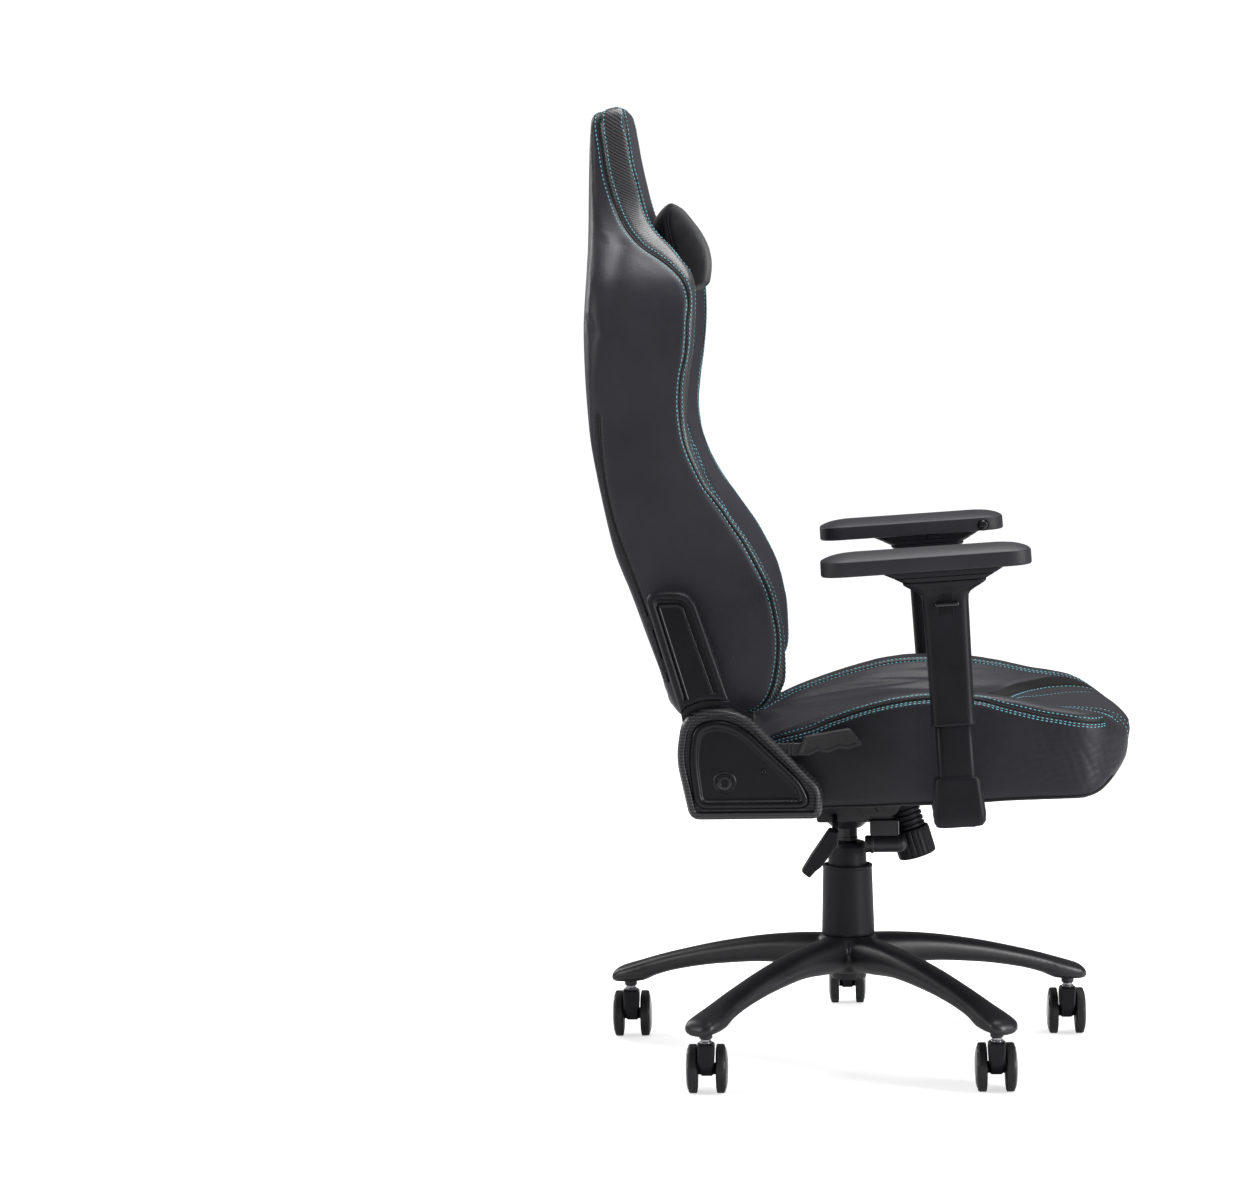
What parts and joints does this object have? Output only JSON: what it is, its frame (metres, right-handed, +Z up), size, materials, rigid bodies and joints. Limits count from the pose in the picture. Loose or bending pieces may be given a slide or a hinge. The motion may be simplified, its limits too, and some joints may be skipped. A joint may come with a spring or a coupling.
{
  "type": "gaming chair",
  "caption": "High-backed gaming chair with winged back, bolstered seat, head pillow, adjustable armrests, recliner hinges, tilt mechanism, gas lift and a star base on twin-wheel casters.",
  "frame": {"origin": "on the floor under the middle of the chair's overall box; the lift column's axis is 22 mm behind it", "axes": "+X forward, the way the sitter faces; +Y to the sitter's left; +Z up"},
  "size_m": [0.73, 0.776, 1.311],
  "materials": {
    "leather": "satin",
    "pillow_suede": "matte",
    "black_plastic": "satin",
    "button_gloss": "gloss",
    "pad_foam": "satin",
    "wheel_nylon": "satin",
    "base_metal": "satin",
    "black_steel": "satin",
    "bare_steel": "satin"
  },
  "bodies": {
    "base": {"star_base": "base_metal", "caster_stem_1": "bare_steel", "caster_stem_2": "bare_steel", "caster_stem_3": "bare_steel", "caster_stem_4": "bare_steel", "caster_stem_5": "bare_steel", "gas_lift_tube": "black_steel", "lift_cover_lower": "black_plastic"},
    "upper_cover": {"lift_cover_upper": "black_plastic"},
    "piston": {"gas_lift_piston": "black_steel"},
    "mechanism": {"tilt_housing": "black_steel", "tilt_pin": "bare_steel", "tilt_spring_sleeve": "black_plastic"},
    "knob": {"tension_knob": "black_plastic"},
    "height_lever": {"height_lever": "black_plastic"},
    "seat": {"seat_plate": "black_steel", "seat_frame": "black_steel", "seat_cushion": "leather", "hinge_cover_left": "black_plastic", "hinge_cover_right": "black_plastic", "arm_bracket_left": "black_steel", "arm_bracket_right": "black_steel", "arm_post_left": "black_plastic", "arm_post_right": "black_plastic"},
    "recline_lever": {"recline_lever": "black_plastic", "recline_shaft": "bare_steel"},
    "back": {"back_frame": "black_steel", "back_cushion": "leather", "recliner_plate_left": "black_steel", "recliner_plate_right": "black_steel", "back_arm_cover_left": "black_plastic", "back_arm_cover_right": "black_plastic"},
    "pillow": {"head_pillow": "pillow_suede"},
    "caster_1": {"caster_hood_1": "black_plastic"},
    "wheel_1_left": {"caster_wheel_1_left": "wheel_nylon"},
    "wheel_1_right": {"caster_wheel_1_right": "wheel_nylon"},
    "caster_2": {"caster_hood_2": "black_plastic"},
    "wheel_2_left": {"caster_wheel_2_left": "wheel_nylon"},
    "wheel_2_right": {"caster_wheel_2_right": "wheel_nylon"},
    "caster_3": {"caster_hood_3": "black_plastic"},
    "wheel_3_left": {"caster_wheel_3_left": "wheel_nylon"},
    "wheel_3_right": {"caster_wheel_3_right": "wheel_nylon"},
    "caster_4": {"caster_hood_4": "black_plastic"},
    "wheel_4_left": {"caster_wheel_4_left": "wheel_nylon"},
    "wheel_4_right": {"caster_wheel_4_right": "wheel_nylon"},
    "caster_5": {"caster_hood_5": "black_plastic"},
    "wheel_5_left": {"caster_wheel_5_left": "wheel_nylon"},
    "wheel_5_right": {"caster_wheel_5_right": "wheel_nylon"},
    "arm_sleeve_left": {"arm_sleeve_left": "black_plastic"},
    "arm_height_button_left": {"arm_height_button_left": "button_gloss"},
    "arm_turntable_left": {"arm_turntable_left": "black_plastic"},
    "arm_carriage_left": {"arm_carriage_left": "black_plastic"},
    "arm_pad_left": {"arm_pad_left": "pad_foam"},
    "arm_pad_button_left": {"arm_pad_button_left": "button_gloss"},
    "arm_sleeve_right": {"arm_sleeve_right": "black_plastic"},
    "arm_height_button_right": {"arm_height_button_right": "button_gloss"},
    "arm_turntable_right": {"arm_turntable_right": "black_plastic"},
    "arm_carriage_right": {"arm_carriage_right": "black_plastic"},
    "arm_pad_right": {"arm_pad_right": "pad_foam"},
    "arm_pad_button_right": {"arm_pad_button_right": "button_gloss"}
  },
  "joints": [
    {"name": "caster_1_swivel", "type": "hinge", "parent": "base", "child": "caster_1", "pos_m": [0.28709, 0.10043, 0.073], "axis": [0, 0, 1], "continuous": true},
    {"name": "wheel_1_left_spin", "type": "hinge", "parent": "caster_1", "child": "wheel_1_left", "pos_m": [0.28709, 0.12843, 0.0325], "axis": [1, 0, 0], "continuous": true},
    {"name": "wheel_1_right_spin", "type": "hinge", "parent": "caster_1", "child": "wheel_1_right", "pos_m": [0.28709, 0.12843, 0.0325], "axis": [1, 0, 0], "continuous": true},
    {"name": "caster_2_swivel", "type": "hinge", "parent": "base", "child": "caster_2", "pos_m": [-0.022, 0.325, 0.073], "axis": [0, 0, 1], "continuous": true},
    {"name": "wheel_2_left_spin", "type": "hinge", "parent": "caster_2", "child": "wheel_2_left", "pos_m": [-0.022, 0.353, 0.0325], "axis": [1, 0, 0], "continuous": true},
    {"name": "wheel_2_right_spin", "type": "hinge", "parent": "caster_2", "child": "wheel_2_right", "pos_m": [-0.022, 0.353, 0.0325], "axis": [1, 0, 0], "continuous": true},
    {"name": "caster_3_swivel", "type": "hinge", "parent": "base", "child": "caster_3", "pos_m": [-0.33109, 0.10043, 0.073], "axis": [0, 0, 1], "continuous": true},
    {"name": "wheel_3_left_spin", "type": "hinge", "parent": "caster_3", "child": "wheel_3_left", "pos_m": [-0.33109, 0.12843, 0.0325], "axis": [1, 0, 0], "continuous": true},
    {"name": "wheel_3_right_spin", "type": "hinge", "parent": "caster_3", "child": "wheel_3_right", "pos_m": [-0.33109, 0.12843, 0.0325], "axis": [1, 0, 0], "continuous": true},
    {"name": "caster_4_swivel", "type": "hinge", "parent": "base", "child": "caster_4", "pos_m": [-0.21303, -0.26293, 0.073], "axis": [0, 0, 1], "continuous": true},
    {"name": "wheel_4_left_spin", "type": "hinge", "parent": "caster_4", "child": "wheel_4_left", "pos_m": [-0.21303, -0.23493, 0.0325], "axis": [1, 0, 0], "continuous": true},
    {"name": "wheel_4_right_spin", "type": "hinge", "parent": "caster_4", "child": "wheel_4_right", "pos_m": [-0.21303, -0.23493, 0.0325], "axis": [1, 0, 0], "continuous": true},
    {"name": "caster_5_swivel", "type": "hinge", "parent": "base", "child": "caster_5", "pos_m": [0.16903, -0.26293, 0.073], "axis": [0, 0, 1], "continuous": true},
    {"name": "wheel_5_left_spin", "type": "hinge", "parent": "caster_5", "child": "wheel_5_left", "pos_m": [0.16903, -0.23493, 0.0325], "axis": [1, 0, 0], "continuous": true},
    {"name": "wheel_5_right_spin", "type": "hinge", "parent": "caster_5", "child": "wheel_5_right", "pos_m": [0.16903, -0.23493, 0.0325], "axis": [1, 0, 0], "continuous": true},
    {"name": "lift_height", "type": "slide", "parent": "base", "child": "piston", "axis": [0, 0, 1], "range_m": [-0.012, 0.08]},
    {"name": "cover_slide", "type": "slide", "parent": "base", "child": "upper_cover", "axis": [0, 0, 1], "range_m": [-0.006, 0.04]},
    {"name": "chair_swivel", "type": "hinge", "parent": "piston", "child": "mechanism", "pos_m": [-0.022, 0, 0.33], "axis": [0, 0, 1], "continuous": true},
    {"name": "tension_knob_turn", "type": "hinge", "parent": "mechanism", "child": "knob", "pos_m": [0.0755, 0, 0.278], "axis": [-0.2823, 0, 0.9593], "range_deg": [-360, 360]},
    {"name": "height_lever_lift", "type": "hinge", "parent": "mechanism", "child": "height_lever", "pos_m": [-0.039, -0.032, 0.338], "axis": [-1, 0, 0], "range_deg": [0, 8], "stiffness_Nm_per_rad": 0.6},
    {"name": "seat_tilt", "type": "hinge", "parent": "mechanism", "child": "seat", "pos_m": [0.023, 0, 0.352], "axis": [0, -1, 0], "range_deg": [0, 12]},
    {"name": "recline_lever_lift", "type": "hinge", "parent": "seat", "child": "recline_lever", "pos_m": [-0.197, 0, 0.463], "axis": [0, -1, 0], "range_deg": [0, 20], "stiffness_Nm_per_rad": 1.5},
    {"name": "back_recline", "type": "hinge", "parent": "seat", "child": "back", "pos_m": [-0.197, 0, 0.463], "axis": [0, -1, 0], "range_deg": [0, 65]},
    {"name": "pillow_height", "type": "slide", "parent": "back", "child": "pillow", "axis": [-0.115, 0, 0.9934], "range_m": [-0.01, 0.06]},
    {"name": "arm_height_left", "type": "slide", "parent": "seat", "child": "arm_sleeve_left", "axis": [-0.0558, 0, 0.9984], "range_m": [-0.05, 0.035]},
    {"name": "arm_height_button_press_left", "type": "slide", "parent": "arm_sleeve_left", "child": "arm_height_button_left", "axis": [-0.0558, 0, 0.9984], "range_m": [0, 0.006], "stiffness_N_per_m": 300},
    {"name": "arm_turn_left", "type": "hinge", "parent": "arm_sleeve_left", "child": "arm_turntable_left", "pos_m": [0.10301, 0.34, 0.68771], "axis": [-0.0558, 0, 0.9984], "range_deg": [-20, 20]},
    {"name": "arm_depth_left", "type": "slide", "parent": "arm_turntable_left", "child": "arm_carriage_left", "axis": [0.9984, 0, 0.0558], "range_m": [-0.02, 0.03]},
    {"name": "arm_width_left", "type": "slide", "parent": "arm_carriage_left", "child": "arm_pad_left", "axis": [0, 1, 0], "range_m": [-0.012, 0.012]},
    {"name": "arm_pad_button_press_left", "type": "slide", "parent": "arm_pad_left", "child": "arm_pad_button_left", "axis": [0, 1, 0], "range_m": [0, 0.0025], "stiffness_N_per_m": 300},
    {"name": "arm_height_right", "type": "slide", "parent": "seat", "child": "arm_sleeve_right", "axis": [-0.0558, 0, 0.9984], "range_m": [-0.05, 0.035]},
    {"name": "arm_height_button_press_right", "type": "slide", "parent": "arm_sleeve_right", "child": "arm_height_button_right", "axis": [-0.0558, 0, 0.9984], "range_m": [0, 0.006], "stiffness_N_per_m": 300},
    {"name": "arm_turn_right", "type": "hinge", "parent": "arm_sleeve_right", "child": "arm_turntable_right", "pos_m": [0.10301, -0.34, 0.68771], "axis": [-0.0558, 0, 0.9984], "range_deg": [-20, 20]},
    {"name": "arm_depth_right", "type": "slide", "parent": "arm_turntable_right", "child": "arm_carriage_right", "axis": [0.9984, 0, 0.0558], "range_m": [-0.02, 0.03]},
    {"name": "arm_width_right", "type": "slide", "parent": "arm_carriage_right", "child": "arm_pad_right", "axis": [0, -1, 0], "range_m": [-0.012, 0.012]},
    {"name": "arm_pad_button_press_right", "type": "slide", "parent": "arm_pad_right", "child": "arm_pad_button_right", "axis": [0, -1, 0], "range_m": [0, 0.0025], "stiffness_N_per_m": 300}
  ],
  "couplings": [
    {"joint": "cover_slide", "follows": "lift_height", "ratio": 0.5}
  ]
}
